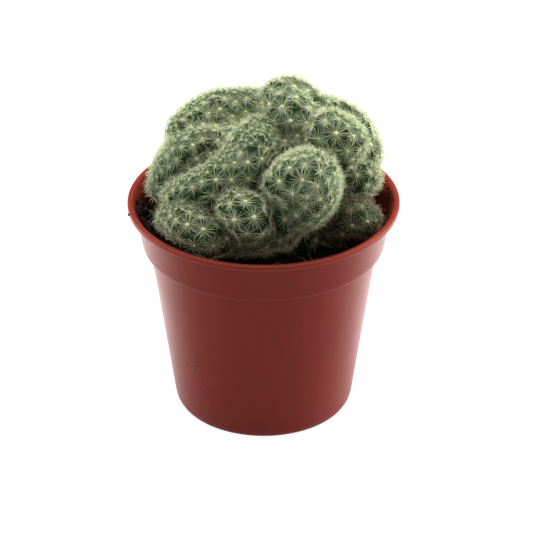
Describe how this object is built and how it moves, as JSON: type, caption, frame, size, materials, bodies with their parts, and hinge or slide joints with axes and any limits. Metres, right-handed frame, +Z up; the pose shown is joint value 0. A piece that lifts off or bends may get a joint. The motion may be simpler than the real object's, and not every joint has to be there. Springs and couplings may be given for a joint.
{
  "type": "potted brain cactus",
  "caption": "Crested cactus grown in folded, star-spined lobes, standing in dark soil in a small tapered plastic nursery pot.",
  "frame": {"origin": "on the surface the pot stands on, at the middle of the pot's foot ring", "axes": "+Z up along the pot's axis; -Y towards the viewer of the picture, +X to that viewer's right"},
  "size_m": [0.085, 0.085, 0.1107],
  "materials": {
    "pot": "satin",
    "soil": "matte",
    "cactus": "matte"
  },
  "bodies": {
    "root": {"pot": "pot", "soil": "soil", "cactus": "cactus"}
  },
  "joints": []
}
